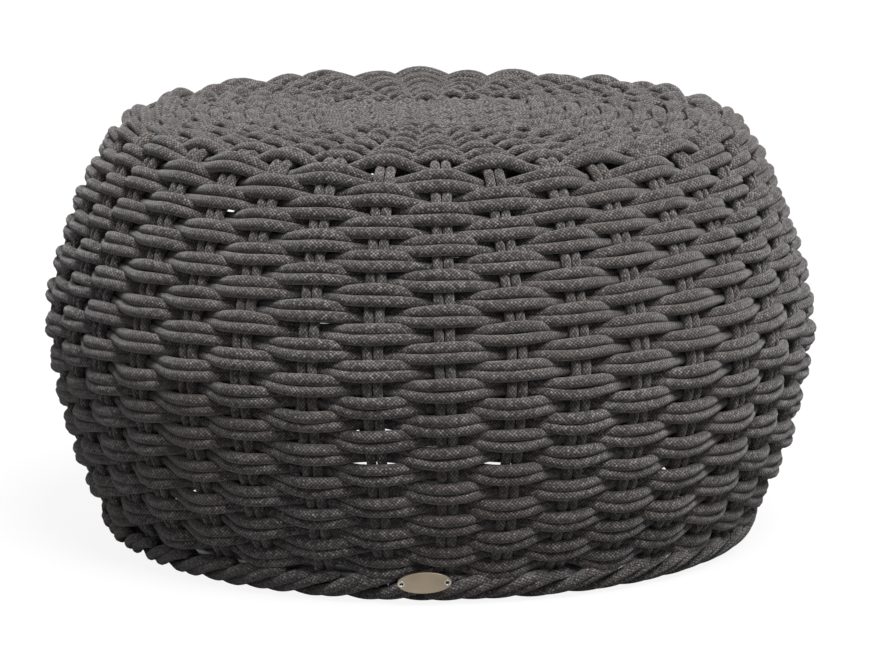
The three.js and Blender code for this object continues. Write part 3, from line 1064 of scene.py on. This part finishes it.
def onPlate(piece):  # from flat at the origin to its place on the border
    middle = sizesOf("badge_plate")[0] - Vector((0, plate["out"], 0))
    turn = Matrix.Rotation(pi / 2 + plate["lean"], 4, "X")
    turn = turn @ Matrix.Rotation(plate["tilt"], 4, "Z")
    piece.data.transform(Matrix.Translation(middle) @ turn)


def makePlate():
    curve = bpy.data.curves.new("plate", "CURVE")
    curve.dimensions = "2D"
    curve.fill_mode = "BOTH"
    edge = plate["edge"]
    curve.extrude = plate["thickness"] / 2 - edge
    curve.bevel_depth = edge
    curve.bevel_resolution = plate["roundness"]
    across, up = plate["width"] / 2 - edge, plate["height"] / 2 - edge
    plateLoop(curve, 0, across, up, plate["outerSteps"], 1)
    hole = plate["holeRadius"] + edge
    for side in (-1, 1):
        plateLoop(curve, side * plate["holes"] / 2, hole, hole, plate["holeSteps"], -1)
    mesh = meshOf("plate", curve)
    work = bmesh.new()
    work.from_mesh(mesh)
    bmesh.ops.remove_doubles(work, verts=work.verts, dist=plate["weld"])
    bmesh.ops.recalc_face_normals(work, faces=work.faces)
    work.to_mesh(mesh)
    dress(mesh, plateMetal)
    piece = newObject("badge_plate_oval", mesh)
    onPlate(piece)
    finishPiece(piece, "plate_metal", "badge_plate")


def makeEyelets():
    bore, rim, face = eyelets["bore"], eyelets["rim"], plate["thickness"] / 2
    barrel, top = plate["holeRadius"] - eyelets["gap"], face + eyelets["rise"]
    lip = face + eyelets["rise"] * eyelets["lipRise"]
    outside, crest, inside = eyelets["lip"]
    corners = [
        (bore, -face), (barrel, -face), (barrel, face), (rim, face),
        (rim * outside, lip), (rim * crest, top), (bore * inside, lip), (bore, face),
    ]
    for node, side in (("eyelet_left", -1), ("eyelet_right", 1)):
        piece = lathe(node + "_rolled", corners, eyelets["steps"], eyeletMetal)
        piece.data.transform(Matrix.Translation((side * plate["holes"] / 2, 0, 0)))
        onPlate(piece)
        finishPiece(piece, "eyelet_metal", node)


makeGlides()
makePlate()
makeEyelets()
print("glides and plate made")


view = {
    "distance": 4.0,
    "elevation": radians(10.9),
    "aimHeight": 0.165,
    "lens": 210.2,
    "shift": (0.0133, -0.0043),
}
world = {
    "sky": 0.14,
    "suns": (  # strength, width and tilt
        (3.65, radians(30), (radians(25), radians(15))),
        (0.9, radians(60), (radians(-58), radians(-15))),
    ),
    "floorSize": 60,
    "floorGrey": 0.2,
    "floorGlow": 0.9,  # how much of the floor's white doesn't take a shadow
    "paintedShadeRadius": 0.225,  # radius of the grey under the footstool: painted shade, where the camera sees the floor grey and without glow so that it looks dark through the weave
}


def seenRays(net):  # 1 where the camera looks, straight or by way of a shiny or clear surface
    path = net.node("ShaderNodeLightPath")
    seen = path.out("Is Camera Ray") + path.out("Is Glossy Ray")
    return (seen + path.out("Is Transmission Ray")).least(1)


def makeStage():
    bpy.ops.mesh.primitive_plane_add(size=world["floorSize"])
    floor = bpy.context.object
    floor.name = "floor"
    material, net, shader = newMaterial("pale floor")
    spot = net.node("ShaderNodeTexCoord").out("Object")
    reach = net.node("ShaderNodeVectorMath", {"operation": "LENGTH"}, {0: spot}, "Value")
    # painted shade: inside this radius the camera sees the floor grey and without glow, so the
    # floor seen through the weave looks dark
    seen = seenRays(net) * reach.above(world["paintedShadeRadius"])
    grey, white = (world["floorGrey"],) * 3, (1, 1, 1)
    net.plug(shader.inputs["Base Color"], net.colour(seen, grey, white))
    shader.inputs["Roughness"].default_value = 1.0
    shader.inputs["Specular IOR Level"].default_value = 0.0
    glow = net.node("ShaderNodeEmission", None, {"Color": white, "Strength": 1.0})
    share = seen * world["floorGlow"]
    inputs = {0: share, 1: Wire(net, shader.outputs[0]), 2: glow}
    both = net.node("ShaderNodeMixShader", None, inputs)
    net.plug(material.node_tree.nodes["Material Output"].inputs["Surface"], both)
    floor.data.materials.append(material)


def makeLights():
    scene = bpy.context.scene
    scene.world = bpy.data.worlds.new("studio")
    scene.world.use_nodes = True
    net = Net(scene.world.node_tree)
    back = scene.world.node_tree.nodes["Background"]
    net.plug(back.inputs["Color"], (1, 1, 1))
    net.plug(back.inputs["Strength"], net.blend(world["sky"], 1, seenRays(net)))
    for strength, angle, tilt in world["suns"]:
        sun = newObject("soft sun", bpy.data.lights.new("soft sun", "SUN"))
        sun.data.energy = strength
        sun.data.angle = angle
        sun.rotation_euler = (*tilt, 0)


def makeCamera():
    camera = newObject("camera", bpy.data.cameras.new("camera"))
    away = Vector((0, -cos(view["elevation"]), sin(view["elevation"])))
    camera.location = Vector((0, 0, view["aimHeight"])) + away * view["distance"]
    camera.rotation_euler = (-away).to_track_quat("-Z", "Y").to_euler()
    camera.data.lens = view["lens"]
    camera.data.shift_x, camera.data.shift_y = view["shift"]
    bpy.context.scene.camera = camera


makeStage()
makeLights()
makeCamera()
bpy.context.scene.view_settings.view_transform = "Standard"
print("stage, lights and camera ready")
